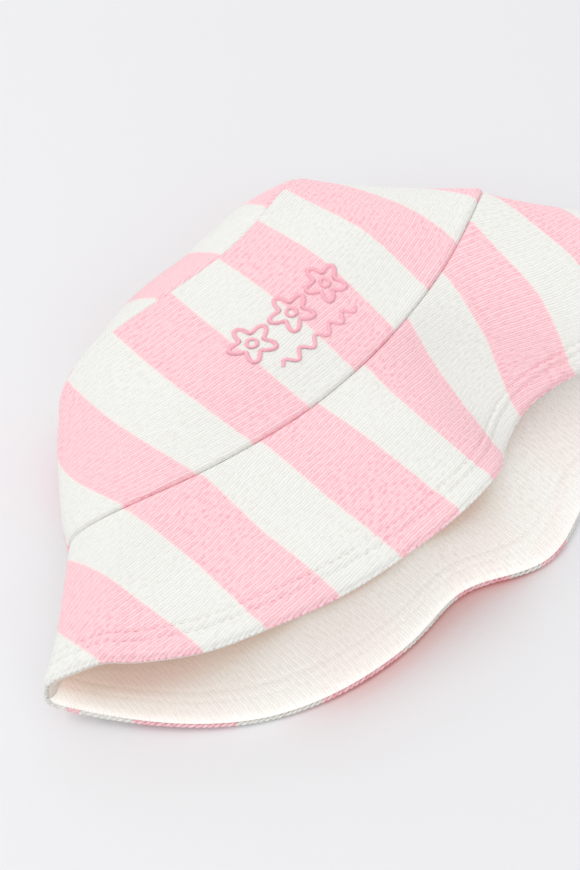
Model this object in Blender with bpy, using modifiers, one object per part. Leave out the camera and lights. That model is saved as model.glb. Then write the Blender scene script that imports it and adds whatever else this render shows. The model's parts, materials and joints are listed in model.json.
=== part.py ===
"""Child's bucket hat, resting on its back with the front facing up.

Frame: +Z is up from the table, +Y runs from the head opening to the crown tip,
and X runs across the hat.  The origin is on the table, in the middle of the
hat's footprint.  Blender units are metres; the constants are millimetres.

The hat is a conical crown (an oval tip on a side of two panels), a two-part brim,
and a lining, a sweatband and labels inside.  Every layer follows one master
surface: four closed rings (tip middle, tip seam, brim seam, brim edge) joined by
lofts.  Each layer lies at its own depth under it.
"""

import math
from collections import namedtuple

import bmesh
import bpy
import numpy as np
from mathutils import Matrix

MM = 0.001

# ---------------------------------------------------------------- rings (mm)
# Heights and Y places are given at the sides, the front centre and the back centre.
# The powers shape the outline; the bows are the powers of the Y curve over front and back.
# skew is the Y shift per unit of x; ear is how far the -X end is drawn out.
Ring = namedtuple("Ring", "half_width z_side z_front y_side y_front y_back "
                          "x_power z_power bow_front bow_back x_shift skew ear")
TIP_SEAM = Ring(half_width=71.4, z_side=15.0, z_front=54.6,
                y_side=54.4, y_front=38.4, y_back=32.0,
                x_power=0.87, z_power=0.73, bow_front=1.6, bow_back=2.0,
                x_shift=0.6, skew=0.01, ear=0.0)
BRIM_SEAM = Ring(half_width=117.3, z_side=23.5, z_front=46.3,
                 y_side=0.0, y_front=-33.4, y_back=-43.0,
                 x_power=0.76, z_power=0.73, bow_front=2.0, bow_back=2.2,
                 x_shift=0.0, skew=0.0, ear=0.0)
BRIM_EDGE = Ring(half_width=159.6, z_side=15.5, z_front=43.0,
                 y_side=-36.8, y_front=-101.9, y_back=-112.5,
                 x_power=0.84, z_power=0.47, bow_front=3.0, bow_back=4.0,
                 x_shift=-3.9, skew=-0.03, ear=2.6)
Z_BACK_AIM = -2.2        # ring backs aim below the table and are pressed flat on it
BACK_Z_POWER = 0.5
EAR_SPREAD = 0.3         # spread of the ear, in cosine of the ring angle

# soft waves of the brim edge: (centre x, half width, shift in y, shift in z)
FRONT_WAVES = ((55.4, 31.2, 20.0, -17.5), (30.4, 19.4, 5.7, -13.3),
               (-146.5, 6.5, 0.0, 3.8), (-119.0, 14.0, 0.0, -2.6))
BACK_WAVES = ((9.4, 30.6, -12.0, 0.0), (-18.4, 21.8, 6.9, 0.0))

DENSE_STEPS = 1440       # points on a ring before it is resampled
HALF_STEPS = 15          # facets across each half of a half ring

# ---------------------------------------------------------------- surface shape (mm)
CROWN_BULGE = 2.8        # how far the side panels belly out between the seams
END_BULGE = 2.0          # and how much more near the -X end
END_BULGE_FROM, END_BULGE_OVER = 55.0, 40.0   # where in -x that starts, and its run
BRIM_SAG = 1.2           # how far the brim hollows between seam and edge
SIDE_PULL = (-3.0, -10.0, -5.0)               # shift of the brim edge at its +X side
SIDE_PULL_FROM, SIDE_PULL_OVER = 34.0, 80.0   # where in x that starts, and its run

DOME = 16.5              # how far the soft tip stands out past its seam
DOME_POWER = 2.6
DOME_LIFT = 1.7          # shift of the tip's middle along Y
DOME_MIDDLE_SHARE = 0.5  # height of the tip's middle, as a share of the seam's top
DOME_SINK_MINUS_X = 1.05   # share of the dome lost at the -X end
DOME_SINK_PLUS_X = 0.35    # and at the +X end
DOME_SINK_POWER = 2.1

# ---------------------------------------------------------------- grid rows (mm and shares)
BRIM_WIDTH = 68.6        # seam to edge
SIDE_HEIGHT = 74.0       # nominal lengths that turn millimetres into shares of a row span
TIP_RADIUS = 27.0
SEAM_GAP = 0.45          # clear gap between two panels at a seam
HALF_GAP = SEAM_GAP / 2
HEM_DISTANCES = (12.0, 8.0)   # the two hem stitch rows, from the brim edge

TIP_SHARES = (0.0, 0.4, 0.75, 0.93, 1 - HALF_GAP / TIP_RADIUS)     # middle to seam
SIDE_SHARES = (HALF_GAP / SIDE_HEIGHT, 0.22, 0.45, 0.66, 0.85,
               1 - HALF_GAP / SIDE_HEIGHT)                         # tip to brim
BRIM_SHARES = (HALF_GAP / BRIM_WIDTH, 0.2, 0.43, 0.65,
               *(1 - distance / BRIM_WIDTH for distance in HEM_DISTANCES), 1.0)

SIDE_START = len(TIP_SHARES)
BRIM_START = SIDE_START + len(SIDE_SHARES)
TIP_ROWS = list(range(SIDE_START))
SIDE_ROWS = list(range(SIDE_START, BRIM_START))
BRIM_ROWS = list(range(BRIM_START, BRIM_START + len(BRIM_SHARES)))
SWEATBAND_ROWS = SIDE_ROWS[-3:]
HEM_ROWS = BRIM_ROWS[-3:-1]

# columns: the front runs from -X to +X, the back from +X to -X
ALL_ROUND = list(range(4 * HALF_STEPS))
FRONT = ALL_ROUND[:2 * HALF_STEPS + 1]
BACK = ALL_ROUND[2 * HALF_STEPS:] + [0]

# ---------------------------------------------------------------- layers (mm)
Layer = namedtuple("Layer", "depth thickness")   # depth is that of the outer face
PLY_GAP = 0.5
PANEL = Layer(0.0, 1.6)
LINING = Layer(PANEL.thickness + PLY_GAP, 0.8)
SWEATBAND = Layer(3.5, 0.9)
INTERLINING = Layer(PANEL.thickness + PLY_GAP, 0.7)
FACING = Layer(INTERLINING.depth + INTERLINING.thickness + PLY_GAP, 1.6)

# ---------------------------------------------------------------- front brim fold (mm)
FOLD_Y = 10.2            # the fold line, in the rings' own Y
FOLD_Z = 32.0
# Share of the first facet row cut back along the front brim's seam edge
TRIM_MOST = 0.68
TRIM_LEAST_TOP = 0.07    # least share on the top layer
TRIM_LEAST_UNDER = 0.27  # and on the layers under it
TRIM_FROM, TRIM_TO = 0.3, 0.75   # where it grows: 0 at the front centre, 1 at the side seam

# ---------------------------------------------------------------- looks
PINK = (0.93, 0.60, 0.66)
CREAM = (0.90, 0.89, 0.85)
FLAX = (0.85, 0.82, 0.76)
CLOTH_ROUGHNESS = 0.9
THREAD_ROUGHNESS = 0.7
LABEL_ROUGHNESS = 0.6
SHARP_ANGLE = math.radians(50)


# ---------------------------------------------------------------- master surface
def smooth_step(value):
    """Eases from 0 to 1 as value goes from 0 to 1."""
    value = np.clip(value, 0, 1)
    return value * value * (3 - 2 * value)


def unit(vectors):
    return vectors / np.maximum(np.linalg.norm(vectors, axis=-1, keepdims=True), 1e-9)


def dense_ring(ring, front_waves, back_waves):
    """Points and angles of a closed ring: back centre, -X side, front centre, +X side, back."""
    angle = np.linspace(-math.pi, math.pi, DENSE_STEPS + 1)
    sine, cosine = np.sin(angle), np.cos(angle)
    frontness = np.abs(cosine)
    front = cosine >= 0
    x = ring.half_width * np.sign(sine) * np.abs(sine) ** ring.x_power
    z = np.where(
        front,
        ring.z_side + (ring.z_front - ring.z_side) * frontness ** ring.z_power,
        ring.z_side - (ring.z_side - Z_BACK_AIM) * frontness ** BACK_Z_POWER)
    across = np.abs(x) / ring.half_width
    y = ring.y_side + ring.skew * x + np.where(
        front,
        (ring.y_front - ring.y_side) * (1 - across ** ring.bow_front),
        (ring.y_back - ring.y_side) * (1 - across ** ring.bow_back))
    for waves, weight in ((front_waves, front), (back_waves, ~front * np.sqrt(frontness))):
        for centre_x, half_width, shift_y, shift_z in waves:
            bump = np.exp(-((x - centre_x) / half_width) ** 2) * weight
            y = y + shift_y * bump
            z = z + shift_z * bump
    x = x + ring.x_shift - ring.ear * np.exp(-(cosine / EAR_SPREAD) ** 2) * (sine < 0)
    return np.stack([x, y, np.maximum(z, 0.0)], -1), angle


def even_ring(ring, front_waves=(), back_waves=()):
    """The ring resampled evenly by length, first over the front and then over the back."""
    points, angle = dense_ring(ring, front_waves, back_waves)
    steps = np.linalg.norm(np.diff(points, axis=0), axis=1)
    length = np.concatenate([[0], np.cumsum(steps)])
    minus_x, plus_x = (np.interp(side, angle, length) for side in (-math.pi / 2, math.pi / 2))
    total = length[-1]
    front = np.linspace(minus_x, plus_x, 2 * HALF_STEPS + 1)[:-1]
    back = np.linspace(plus_x, total + minus_x, 2 * HALF_STEPS + 1)[:-1] % total
    stations = np.concatenate([front, back])
    return np.stack([np.interp(stations, length, points[:, axis]) for axis in range(3)], -1)


def outward(points):
    """Unit directions in XZ from the middle of a row to its points."""
    directions = points - points.mean(0)
    directions[:, 1] = 0
    return unit(directions)


def tip_row(tip, share):
    middle = tip.mean(0)
    middle[1] += DOME_LIFT
    middle[2] = tip[:, 2].max() * DOME_MIDDLE_SHARE
    row = middle + (tip - middle) * share
    end = (row[:, 0] - middle[0]) / TIP_SEAM.half_width
    sink = np.where(end < 0, DOME_SINK_MINUS_X, DOME_SINK_PLUS_X)
    sink = sink * np.abs(end) ** DOME_SINK_POWER
    row[:, 1] += DOME * (1 - share ** DOME_POWER) * np.maximum(1 - sink, 0.0)
    return row


def side_row(tip, seam, share):
    row = (1 - share) * tip + share * seam
    end = smooth_step((-row[:, 0] - END_BULGE_FROM) / END_BULGE_OVER)
    bulge = (CROWN_BULGE + END_BULGE * end) * math.sin(math.pi * share)
    return row + bulge[:, None] * outward(row)


def brim_row(seam, edge, share):
    row = (1 - share) * seam + share * edge
    near = smooth_step((row[:, 0] - SIDE_PULL_FROM) / SIDE_PULL_OVER)
    pull = (math.sqrt(share) * near)[:, None] * np.array(SIDE_PULL)
    return row - BRIM_SAG * math.sin(math.pi * share) * outward(row) + pull


def master_surface():
    """Closed rows of points from the tip's middle to the brim's edge."""
    tip = even_ring(TIP_SEAM)
    seam = even_ring(BRIM_SEAM)
    edge = even_ring(BRIM_EDGE, FRONT_WAVES, BACK_WAVES)
    rows = np.array([tip_row(tip, share) for share in TIP_SHARES]
                    + [side_row(tip, seam, share) for share in SIDE_SHARES]
                    + [brim_row(seam, edge, share) for share in BRIM_SHARES])
    rows[..., 2] = np.maximum(rows[..., 2], 0.0)
    return rows


def surface_normals(rows):
    """Unit normals pointing out of the hat."""
    along = np.gradient(rows, axis=0)
    around = np.roll(rows, -1, axis=1) - np.roll(rows, 1, axis=1)
    normals = unit(np.cross(along, around))
    normals[0] = (0.0, 1.0, 0.0)           # the middle of the tip faces away from the opening
    for start in (SIDE_START, BRIM_START):   # both sides of a seam share one mitred normal
        shared = normals[start - 1] + normals[start]
        shared /= np.linalg.norm(shared, axis=-1, keepdims=True)
        normals[start - 1] = normals[start] = shared
    for _ in range(2):                     # ease the normals round the tight side folds
        neighbours = np.roll(normals, 1, axis=1) + np.roll(normals, -1, axis=1)
        normals = 0.5 * normals + 0.25 * neighbours
        normals /= np.linalg.norm(normals, axis=-1, keepdims=True)
    return normals


SURFACE = master_surface()
NORMALS = surface_normals(SURFACE)
CENTRE = (SURFACE.max(axis=(0, 1)) + SURFACE.min(axis=(0, 1))) / 2
CENTRE[2] = 0.0
SURFACE = SURFACE - CENTRE


# ---------------------------------------------------------------- scene helpers
for old in list(bpy.data.objects):
    bpy.data.objects.remove(old, do_unlink=True)

HAT = bpy.data.collections.new("bucket_hat")
bpy.context.scene.collection.children.link(HAT)


def material(name, colour, roughness):
    made = bpy.data.materials.new(name)
    made.use_nodes = True
    shader = made.node_tree.nodes["Principled BSDF"]
    shader.inputs["Base Color"].default_value = (*colour, 1.0)
    shader.inputs["Roughness"].default_value = roughness
    shader.inputs["Metallic"].default_value = 0.0
    return made


def add_object(name, data, colour, roughness):
    """Links an object with a material of its own name."""
    obj = bpy.data.objects.new(name, data)
    data.materials.append(material(name, colour, roughness))
    if obj.type == "MESH":
        data.shade_smooth()
        data.set_sharp_from_angle(angle=SHARP_ANGLE)
    HAT.objects.link(obj)
    return obj


def add_mesh(name, bm, colour, roughness):
    mesh = bpy.data.meshes.new(name)
    bm.to_mesh(mesh)
    bm.free()
    return add_object(name, mesh, colour, roughness)


def add_hinge(name, location):
    """An empty at a place in millimetres."""
    hinge = bpy.data.objects.new(name, None)
    HAT.objects.link(hinge)
    hinge.location = [value * MM for value in location]
    return hinge


def cord(name, points, radius, closed, colour):
    """A thread as a bevelled poly curve with filled ends, in millimetres."""
    curve = bpy.data.curves.new(name, "CURVE")
    curve.dimensions = "3D"
    curve.bevel_depth = radius * MM
    curve.bevel_resolution = 0
    curve.use_fill_caps = True
    spline = curve.splines.new("POLY")
    spline.points.add(len(points) - 1)
    for knot, point in zip(spline.points, points):
        knot.co = (*(point * MM), 1.0)
    spline.use_cyclic_u = closed
    add_object(name, curve, colour, THREAD_ROUGHNESS)


# ---------------------------------------------------------------- cloth panels
def grid_vertices(bm, grid, pole):
    vertices = [[bm.verts.new(point * MM) for point in row] for row in grid[int(pole):]]
    if pole:
        vertices.insert(0, [bm.verts.new(grid[0].mean(0) * MM)] * grid.shape[1])
    return vertices


def loft_shell(name, outer, inner, closed, pole, colour):
    """A closed shell between two grids of points, [row][column], in millimetres.
    closed joins the last column to the first; pole closes row 0 to one point."""
    bm = bmesh.new()
    n_rows, n_cols = outer.shape[:2]
    spans = [(c, (c + 1) % n_cols) for c in range(n_cols if closed else n_cols - 1)]
    outside, inside = (grid_vertices(bm, grid, pole) for grid in (outer, inner))

    def add_face(corners, flip):
        bm.faces.new(corners[::-1] if flip else corners)

    for grid, flip in ((outside, False), (inside, True)):
        for r in range(n_rows - 1):
            row, below = grid[r], grid[r + 1]
            for c, d in spans:
                # every layer splits its quads the same way, so stacked layers stay parallel
                if pole and r == 0:
                    add_face((row[c], below[d], below[c]), flip)
                else:
                    add_face((row[c], row[d], below[c]), flip)
                    add_face((row[d], below[d], below[c]), flip)
    rims = [(n_rows - 1, False)] if pole else [(n_rows - 1, False), (0, True)]
    for r, flip in rims:
        for c, d in spans:
            add_face((outside[r][c], outside[r][d], inside[r][d], inside[r][c]), flip)
    if not closed:
        for c, flip in ((0, False), (n_cols - 1, True)):
            for r in range(n_rows - 1):
                add_face((outside[r][c], outside[r + 1][c], inside[r + 1][c], inside[r][c]), flip)
    bmesh.ops.recalc_face_normals(bm, faces=bm.faces)
    add_mesh(name, bm, colour, CLOTH_ROUGHNESS)


def layer_points(rows, columns, depth):
    """Master points pushed inwards by depth and kept above the table."""
    points = SURFACE[rows][:, columns] - depth * NORMALS[rows][:, columns]
    points[..., 2] = np.maximum(points[..., 2], 0.0)
    return points


def cut_back(points, least):
    """Moves the first row towards the second.  Towards the side folds the cut is deeper, so
    that the turned-up front brim swings clear of the side panels."""
    from_centre = np.abs(np.array(FRONT) / HALF_STEPS - 1)
    share = TRIM_MOST * smooth_step((from_centre - TRIM_FROM) / (TRIM_TO - TRIM_FROM))
    share = np.maximum(share, least)[:, None]
    points[0] = (1 - share) * points[0] + share * points[1]


def trim_sides(points):
    """Draws the first and last column in, to leave the gap of a side seam."""
    for end, neighbour in ((0, 1), (-1, -2)):
        points[:, end] += HALF_GAP * unit(points[:, neighbour] - points[:, end])


def panel(name, rows, columns, layer, colour, pole=False, least_trim=None):
    closed = columns is ALL_ROUND
    faces = [layer_points(rows, columns, depth)
             for depth in (layer.depth, layer.depth + layer.thickness)]
    for points in faces:
        if least_trim is not None:
            cut_back(points, least_trim)
        if not closed:
            trim_sides(points)
    loft_shell(name, *faces, closed, pole, colour)


# ---------------------------------------------------------------- crown
def build_crown():
    for kind, layer, colour in (("panel", PANEL, PINK), ("lining", LINING, CREAM)):
        panel(f"tip_{kind}", TIP_ROWS, ALL_ROUND, layer, colour, pole=True)
        panel(f"side_{kind}_front", SIDE_ROWS, FRONT, layer, colour)
        panel(f"side_{kind}_back", SIDE_ROWS, BACK, layer, colour)
    panel("sweatband", SWEATBAND_ROWS, ALL_ROUND, SWEATBAND, FLAX)


# ---------------------------------------------------------------- brim
STITCH_RADIUS = 0.35
STITCH_RISE = 0.8


def build_brim_half(half, columns, least_top=None, least_under=None):
    panel(f"brim_top_{half}", BRIM_ROWS, columns, PANEL, PINK, least_trim=least_top)
    panel(f"brim_interlining_{half}", BRIM_ROWS[:-1], columns, INTERLINING, FLAX,
          least_trim=least_under)
    panel(f"brim_facing_{half}", BRIM_ROWS, columns, FACING, CREAM, least_trim=least_under)


def build_hem_stitches(half, columns, rise, colour):
    """Two stitch rows, at a rise above the master surface (negative is inside the hat)."""
    for place, row in zip(("inner", "outer"), HEM_ROWS):
        line = SURFACE[row][columns] + rise * NORMALS[row][columns]
        cord(f"hem_stitch_{place}_{half}", line[1:-1], STITCH_RADIUS, False, colour)


def build_brim():
    build_brim_half("front", FRONT, TRIM_LEAST_TOP, TRIM_LEAST_UNDER)
    build_brim_half("back", BACK)
    build_hem_stitches("front", FRONT, STITCH_RISE, PINK)
    # on the back half the rows show on the facing, because that face is turned up
    facing_inside = FACING.depth + FACING.thickness
    build_hem_stitches("back", BACK, -(facing_inside + STITCH_RISE), CREAM)


def hang_front_brim():
    """The front brim turns up about one line, so its pieces hang on an empty there."""
    hinge = add_hinge("front_brim_hinge", (0.0, FOLD_Y - CENTRE[1], FOLD_Z))
    for piece in ("brim_top", "brim_interlining", "brim_facing",
                  "hem_stitch_inner", "hem_stitch_outer"):
        obj = bpy.data.objects[f"{piece}_front"]
        obj.parent = hinge
        obj.matrix_parent_inverse = Matrix.Translation(-hinge.location)


# ---------------------------------------------------------------- embroidery on the front
# u is millimetres towards +X from the front centre, v the share from tip to brim
EMBROIDERY_RADIUS = 0.5
EMBROIDERY_RISE = 1.15
FLOWER_RADIUS = 8.6      # out to the petal tips
FLOWER_SWELL = 0.24      # swing of the radius either side of its mean, as a share
FLOWER_PETALS = 5
FLOWER_STEPS = 35
FLOWER_CENTRE_RADIUS = 1.9
FLOWER_CENTRE_STEPS = 9
FLOWER_SPACING = 19.0
FLOWER_V = 0.55
VINE_U, VINE_V = 1.0, 0.75   # middle of the wavy line under the flowers
VINE_HALF_LENGTH = 19.0
VINE_WAVELENGTH = 7.6
VINE_HEIGHT = 1.7        # of its waves, from the middle line
VINE_STEPS = 45

FRONT_POINTS = SURFACE[SIDE_ROWS][:, FRONT]
FRONT_NORMALS = NORMALS[SIDE_ROWS][:, FRONT]
TIP_HALF, SEAM_HALF = (
    np.linalg.norm(np.diff(FRONT_POINTS[row], axis=0), axis=1).sum() / 2 for row in (0, -1))


def embroidery_point(u, v):
    """A point above the front side panel, blended from the four grid points around it."""
    half = (1 - v) * TIP_HALF + v * SEAM_HALF
    column = HALF_STEPS * (1 + u / half)
    c = int(min(max(math.floor(column), 0), 2 * HALF_STEPS - 1))
    row = np.interp(v, SIDE_SHARES, range(len(SIDE_SHARES)))
    r = int(min(math.floor(row), len(SIDE_SHARES) - 2))

    def blend(grid):
        upper, lower = ((1 - (column - c)) * grid[k, c] + (column - c) * grid[k, c + 1]
                        for k in (r, r + 1))
        return (1 - (row - r)) * upper + (row - r) * lower

    normal = blend(FRONT_NORMALS)
    return blend(FRONT_POINTS) + EMBROIDERY_RISE * normal / np.linalg.norm(normal)


def petal_outline(name, u_middle, radius, swell, steps):
    """A closed cord whose radius swells once for each petal; no swell gives a circle."""
    points = []
    for k in range(steps):
        angle = 2 * math.pi * k / steps
        reach = radius * (1 - swell + swell * math.cos(FLOWER_PETALS * angle))
        points.append(embroidery_point(u_middle + reach * math.sin(angle),
                                       FLOWER_V - reach * math.cos(angle) / SIDE_HEIGHT))
    cord(name, points, EMBROIDERY_RADIUS, True, PINK)


def build_flowers():
    for place, step in (("left", -1), ("middle", 0), ("right", 1)):
        u = step * FLOWER_SPACING
        petal_outline(f"embroidery_flower_{place}", u,
                      radius=FLOWER_RADIUS, swell=FLOWER_SWELL, steps=FLOWER_STEPS)
        petal_outline(f"embroidery_centre_{place}", u,
                      radius=FLOWER_CENTRE_RADIUS, swell=0.0, steps=FLOWER_CENTRE_STEPS)


def build_vine():
    points = []
    for k in range(VINE_STEPS):
        along = VINE_HALF_LENGTH * (2 * k / (VINE_STEPS - 1) - 1)
        wave = VINE_HEIGHT * math.sin(2 * math.pi * along / VINE_WAVELENGTH)
        points.append(embroidery_point(VINE_U + along, VINE_V + wave / SIDE_HEIGHT))
    cord("embroidery_vine", points, EMBROIDERY_RADIUS, False, PINK)


# ---------------------------------------------------------------- labels inside the back
LABEL_THICKNESS = 0.5
LABEL_CLEARANCE = 0.5    # above the lining
LABEL_BEVEL = 0.12
LABEL_FROM_SWEATBAND = 1.9   # from the sweatband's upper row to the labels' seam
LABEL_SEAM_Y = SURFACE[SWEATBAND_ROWS[0], BACK[HALF_STEPS], 1] + LABEL_FROM_SWEATBAND
LABEL_TOP_Z = LINING.depth + LINING.thickness + LABEL_CLEARANCE + LABEL_THICKNESS


def build_label(name, x_middle, width, length):
    """A woven label lying over the lining of the back, from its seam towards the tip.
    It hangs on an empty at the upper edge of its seam, where it folds up."""
    bm = bmesh.new()
    bmesh.ops.create_cube(bm, size=1.0)
    for vertex in bm.verts:
        x, y, z = vertex.co
        vertex.co = (x * width * MM, (y + 0.5) * length * MM, (z - 0.5) * LABEL_THICKNESS * MM)
    obj = add_mesh(name, bm, CREAM, LABEL_ROUGHNESS)
    obj.parent = add_hinge(f"{name}_hinge", (x_middle, LABEL_SEAM_Y, LABEL_TOP_Z))
    bevel = obj.modifiers.new("soft_edges", "BEVEL")
    bevel.width = LABEL_BEVEL * MM
    bevel.segments = 1


build_crown()
build_brim()
hang_front_brim()
build_flowers()
build_vine()
build_label("care_label", x_middle=-9.0, width=24.0, length=34.0)
build_label("size_label", x_middle=14.0, width=14.0, length=11.0)
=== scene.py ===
"""A striped knit bucket hat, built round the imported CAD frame.

The hat lies on its back half on a floor at z = 0: the tip of the crown faces +Y and the
opening -Y, the front half is the upper one (+Z) and "left" means -X.  Lengths are in
millimetres unless a comment says otherwise; make_mesh turns them into metres.
"""
import json
import math
from functools import partialmethod

import bpy
import numpy as np
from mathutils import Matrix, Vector

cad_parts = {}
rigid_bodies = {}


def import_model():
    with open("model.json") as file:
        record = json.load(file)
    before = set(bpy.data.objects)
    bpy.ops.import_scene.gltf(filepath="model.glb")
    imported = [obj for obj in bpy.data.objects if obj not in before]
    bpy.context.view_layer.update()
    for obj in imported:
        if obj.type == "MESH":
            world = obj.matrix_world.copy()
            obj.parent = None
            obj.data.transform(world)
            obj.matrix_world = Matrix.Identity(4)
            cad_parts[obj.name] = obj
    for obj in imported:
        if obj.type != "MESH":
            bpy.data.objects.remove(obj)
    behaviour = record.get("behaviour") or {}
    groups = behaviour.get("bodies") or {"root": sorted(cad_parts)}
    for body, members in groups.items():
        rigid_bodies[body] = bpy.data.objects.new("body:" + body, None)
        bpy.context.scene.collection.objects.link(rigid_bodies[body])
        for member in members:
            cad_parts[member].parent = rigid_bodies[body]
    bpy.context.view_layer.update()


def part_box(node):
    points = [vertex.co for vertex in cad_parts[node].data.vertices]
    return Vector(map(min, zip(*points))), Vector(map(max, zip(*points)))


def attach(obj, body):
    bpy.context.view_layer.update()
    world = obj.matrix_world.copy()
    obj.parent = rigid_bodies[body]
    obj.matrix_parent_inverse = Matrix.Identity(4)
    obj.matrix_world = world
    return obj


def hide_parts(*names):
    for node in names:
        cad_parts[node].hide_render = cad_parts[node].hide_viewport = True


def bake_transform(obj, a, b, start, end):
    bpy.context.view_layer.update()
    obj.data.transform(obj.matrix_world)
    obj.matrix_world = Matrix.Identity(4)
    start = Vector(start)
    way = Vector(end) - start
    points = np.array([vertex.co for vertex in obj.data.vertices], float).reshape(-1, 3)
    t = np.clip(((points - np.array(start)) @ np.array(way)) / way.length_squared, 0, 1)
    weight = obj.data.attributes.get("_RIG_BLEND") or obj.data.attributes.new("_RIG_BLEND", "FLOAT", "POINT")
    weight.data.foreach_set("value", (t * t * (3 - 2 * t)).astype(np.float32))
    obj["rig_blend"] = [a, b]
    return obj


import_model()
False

MM = 0.001

# ------------------------------------------------------------------ sizes
STRIPE = 26.0
TIP_STRIPE = 25.0
BRIM_WIDTH = 68.6
BRIM_PATTERN_R = 192.0   # radius of the flat brim pattern at its seam
SIDE_HEIGHT = 74.0
TIP_ROW = 52.0           # middle of the tip to its seam, for stitches and row spacing
TIP_PATTERN_R = 54.6
Z_TABLE = -2.2           # where the back half would bottom out; the floor flattens it at 0

# The hat is drawn through rings.  half_width: half its size in x; z_side, z_top and y_side,
# y_top, y_back: heights and depths at the sides, the front centre and the back centre;
# x_pow, z_pow: squareness; bow, bow_back: how y bows over each half; x0, skew: shift and
# slant; ear: how far the left end sticks out.
TIP_SEAM = dict(half_width=71.4, z_side=15.0, z_top=54.6, y_side=54.4, y_top=38.4, y_back=32.0,
                x_pow=0.87, z_pow=0.73, bow=1.6, bow_back=2.0, x0=0.6, skew=0.01, ear=0.0)
BRIM_SEAM = dict(half_width=117.3, z_side=23.5, z_top=46.3, y_side=0.0, y_top=-33.4,
                 y_back=-43.0, x_pow=0.76, z_pow=0.73, bow=2.0, bow_back=2.2, x0=0.0,
                 skew=0.0, ear=0.0)
BRIM_EDGE = dict(half_width=159.6, z_side=15.5, z_top=43.0, y_side=-36.8, y_top=-101.9,
                 y_back=-112.5, x_pow=0.84, z_pow=0.47, bow=3.0, bow_back=4.0, x0=-3.9,
                 skew=-0.03, ear=2.6)
# waves of the brim edge: centre x, width, shift in y, shift in z
FRONT_WAVES = ((55.4, 31.2, 20.0, -17.5), (30.4, 19.4, 5.7, -13.3),
               (-146.5, 6.5, 0.0, 3.8), (-119.0, 14.0, 0.0, -2.6))
BACK_WAVES = ((9.4, 30.6, -12.0, 0.0), (-18.4, 21.8, 6.9, 0.0))

CROWN_BULGE = 2.8
LEFT_BULGE = 2.0         # added on the left, past LEFT_FROM, over LEFT_OVER
LEFT_FROM, LEFT_OVER = 55.0, 40.0
BRIM_SAG = 1.2
DOME, DOME_POW = 16.5, 2.6
DOME_LIFT = 1.7          # the tip's middle stands this far out of its ring
DOME_SINK = (1.05, 0.35)                 # flattening towards the left and right ends
DOME_SINK_POW = 2.1
SIDE_PULL = (-3.0, -10.0, -5.0)          # shift of the right end of the brim's edge
SIDE_PULL_FROM, SIDE_PULL_OVER = 34.0, 80.0
SWELL = 0.55             # height of the soft swells
SHIFT = np.array([6.7, 29.988, 0.0])     # from the rings' own place to the CAD hat's

# layers of cloth: depth below the outer surface, thickness
PANEL = (0.0, 1.6)
LINING = (2.1, 0.8)
SWEATBAND = (3.5, 0.9)
INTERLINING = (2.1, 0.7)
FACING = (3.3, 1.6)
FACING_AT_EDGE = (1.68, 2.50)
HEM_ROWS = (12.0, 8.0)   # distance of the stitch rows from the brim's edge

# ------------------------------------------------------------------ stripes
BAND_PHASE = 0.4         # a stripe boundary lies this far from the front centre
BRIM_PHASE = 4.4
BACK_BRIM_PHASE = -19.0
BACK_BRIM_SPREAD = 7.0   # stripes of the back brim widen by this towards the edge

# The knit is pulled a little out of true.  Each row holds the places, in stripes, of the
# boundaries -4..4 (side) or -6..5 (brim), at the matching share of the way down the piece.
SIDE_AT = (0.06, 0.92)
SIDE_STRIPES = ((-4.00, -2.93, -1.94, -0.90, 0.02, 1.06, 1.94, 2.94, 3.97),
                (-3.98, -2.88, -1.95, -0.93, -0.03, 0.95, 1.88, 2.95, 4.10))
BRIM_AT = (0.06, 0.50, 0.92)
BRIM_STRIPES = (
    (-6.00, -5.00, -3.98, -2.92, -1.98, -0.94, 0.00, 1.12, 2.15, 3.27, 4.24, 5.20),
    (-6.05, -5.00, -4.01, -3.06, -2.07, -0.95, -0.16, 1.12, 2.09, 3.20, 4.27, 5.20),
    (-6.13, -4.94, -4.14, -3.10, -2.09, -0.93, -0.14, 0.86, 1.86, 2.92, 3.95, 5.00))
# x of the boundaries -6..3 along the back brim's edge
BACK_EDGE_X = (-161.0, -158.8, -147.8, -122.8, -94.7, -59.7, -28.4, -7.9, 3.5, 18.6)

# ------------------------------------------------------------------ columns round the hat
QUARTER = 116
TOTAL = 4 * QUARTER
FRONT = np.arange(0, 2 * QUARTER + 1)
BACK = np.arange(2 * QUARTER, TOTAL + 1) % TOTAL
ROUND = np.arange(TOTAL)
HALVES = (("front", FRONT, False), ("back", BACK, True))
# -1..1 over the front from -X to +X, and 1..-1 over the back
SHARE = np.concatenate([FRONT[:-1] / QUARTER - 1.0, -(FRONT[:-1] / QUARTER - 1.0)])


# ------------------------------------------------------------------ small helpers
def ease(x):
    x = np.clip(x, 0, 1)
    return x * x * (3 - 2 * x)


def unit(vectors):
    return vectors / np.maximum(np.linalg.norm(vectors, axis=-1, keepdims=True), 1e-9)


def travelled(points):
    """Length of the path up to each point."""
    return np.concatenate([[0], np.cumsum(np.linalg.norm(np.diff(points, axis=0), axis=1))])


def sample(at, lengths, rows):
    """The rows, interpolated at some lengths along their path."""
    return np.stack([np.interp(at, lengths, rows[:, k]) for k in range(rows.shape[1])], -1)


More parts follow.
